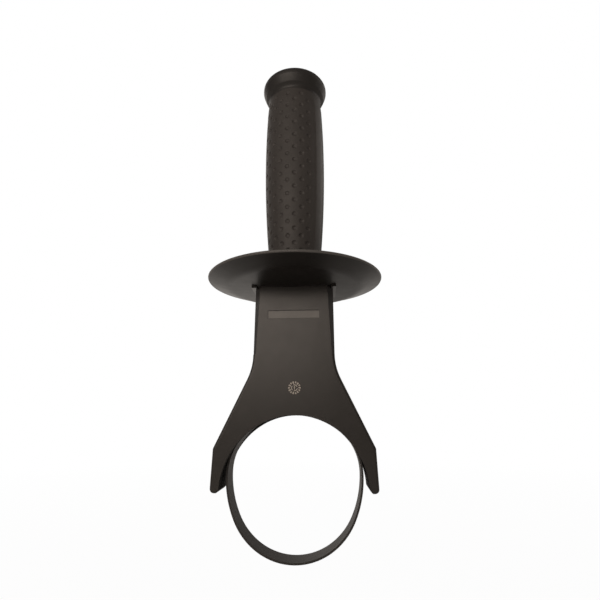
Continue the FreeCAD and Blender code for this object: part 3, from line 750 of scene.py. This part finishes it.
# Camera: its turn in degrees, its place, its lens and sensor in millimetres, and its near limit.
CAMERA_YAW, CAMERA_PITCH, CAMERA_ROLL = 2.981, 15.377, -0.205
CAMERA_PLACE = (0.01523, -0.23698, 0.03470)
CAMERA_LENS = 25.78
CAMERA_SENSOR = 36.0
CAMERA_NEAR = 0.01


def build_stage():
    """Pale floor that the camera sees as white, with a little of the object's shadow."""
    tree = Tree("floor_paper")
    tree.nodes.remove(tree.shader)
    paper = tree.add("ShaderNodeBsdfDiffuse", {"Color": (*PAPER_COLOUR, 1.0)})
    path = tree.add("ShaderNodeLightPath")
    tint = tree.blend(path.outputs["Is Camera Ray"], WARM_WHITE, WHITE)
    glow = tree.add("ShaderNodeEmission", {"Color": tint, "Strength": 1.0})
    where = tree.add("ShaderNodeSeparateXYZ", {0: tree.place}).outputs
    sides = tree.math("MAXIMUM", tree.remap(where["X"], *MIRRORED_LEFT),
                      tree.remap(where["X"], *MIRRORED_RIGHT))
    bright = tree.math("MULTIPLY", sides, tree.remap(where["Y"], *MIRRORED_BACK))
    mirrored = tree.math("MULTIPLY", path.outputs["Is Glossy Ray"], bright)
    reach = tree.add("ShaderNodeVectorMath", {0: tree.place}, operation="LENGTH").outputs["Value"]
    white = tree.remap(reach, *SEEN_OUTWARD)
    seen = tree.math("MULTIPLY", path.outputs["Is Camera Ray"], white)
    share = tree.math("MAXIMUM", seen, mirrored)
    mix = tree.add("ShaderNodeMixShader", {0: share, 1: paper.outputs[0], 2: glow.outputs[0]})
    tree.links.new(mix.outputs[0], tree.nodes["Material Output"].inputs["Surface"])
    corners = [(-FLOOR_HALF, -FLOOR_HALF, FLOOR_Z), (FLOOR_HALF, -FLOOR_HALF, FLOOR_Z),
               (FLOOR_HALF, FLOOR_HALF, FLOOR_Z), (-FLOOR_HALF, FLOOR_HALF, FLOOR_Z)]
    floor = mesh_object("floor", corners, [(0, 1, 2, 3)], [tree.material])


def build_world():
    """White surroundings for the camera. All else sees them white behind the object and dim in front."""
    world = bpy.data.worlds.new("studio")
    bpy.context.scene.world = world
    world.use_nodes = True
    nodes, links = world.node_tree.nodes, world.node_tree.links
    background = nodes["Background"]
    place = nodes.new("ShaderNodeTexCoord")
    facing = nodes.new("ShaderNodeVectorMath")
    facing.operation = "DOT_PRODUCT"
    facing.inputs[1].default_value = BACKDROP
    links.new(place.outputs["Generated"], facing.inputs[0])
    ramp = nodes.new("ShaderNodeMapRange")
    ramp.interpolation_type = "SMOOTHSTEP"
    links.new(facing.outputs["Value"], ramp.inputs["Value"])
    ramp.inputs["From Min"].default_value, ramp.inputs["From Max"].default_value = BACKDROP_EDGE
    ramp.inputs["To Min"].default_value = DIM_LEVEL
    ramp.inputs["To Max"].default_value = 1.0
    path = nodes.new("ShaderNodeLightPath")
    tint = nodes.new("ShaderNodeMix")
    tint.data_type = "RGBA"
    tint.inputs[6].default_value = (*WARM_WHITE, 1.0)
    tint.inputs[7].default_value = (*WHITE, 1.0)
    links.new(path.outputs["Is Camera Ray"], tint.inputs["Factor"])
    links.new(tint.outputs[2], background.inputs["Color"])
    most = nodes.new("ShaderNodeMath")
    most.operation = "MAXIMUM"
    links.new(path.outputs["Is Camera Ray"], most.inputs[0])
    links.new(ramp.outputs["Result"], most.inputs[1])
    links.new(most.outputs[0], background.inputs["Strength"])


def add_softbox(name, place, target, width, height, level):
    """Rectangular lamp with a given brightness, where 1 is white."""
    data = bpy.data.lights.new(name, "AREA")
    data.shape = "RECTANGLE"
    data.size, data.size_y = width, height
    data.energy = level * math.pi * width * height
    data.color = LAMP_COLOUR
    lamp = bpy.data.objects.new(name, data)
    lamp.location = place
    aim = Vector(target) - Vector(place)
    lamp.rotation_mode = "QUATERNION"
    lamp.rotation_quaternion = aim.to_track_quat("-Z", "Y")
    lamp.visible_camera = False
    bpy.context.scene.collection.objects.link(lamp)


def build_camera():
    """Camera of the photograph, for a picture of 600 by 600."""
    yaw, pitch, roll = (math.radians(turn) for turn in (CAMERA_YAW, CAMERA_PITCH, CAMERA_ROLL))
    level = Vector((math.cos(yaw), math.sin(yaw), 0.0))
    ahead = Vector((-math.sin(yaw), math.cos(yaw), 0.0))
    forward = math.cos(pitch) * ahead + Vector((0.0, 0.0, math.sin(pitch)))
    over = level.cross(forward)
    right = math.cos(roll) * level + math.sin(roll) * over
    up = -math.sin(roll) * level + math.cos(roll) * over
    data = bpy.data.cameras.new("photo_camera")
    data.sensor_width = CAMERA_SENSOR
    data.lens = CAMERA_LENS
    data.clip_start = CAMERA_NEAR
    camera = bpy.data.objects.new("photo_camera", data)
    turn = Matrix((right, up, -forward)).transposed()
    camera.matrix_world = Matrix.Translation(CAMERA_PLACE) @ turn.to_4x4()
    bpy.context.scene.collection.objects.link(camera)
    bpy.context.scene.camera = camera


build_stage()
build_world()
for lamp in LAMPS:
    add_softbox(*lamp)
build_camera()
bpy.context.scene.view_settings.view_transform = "Standard"
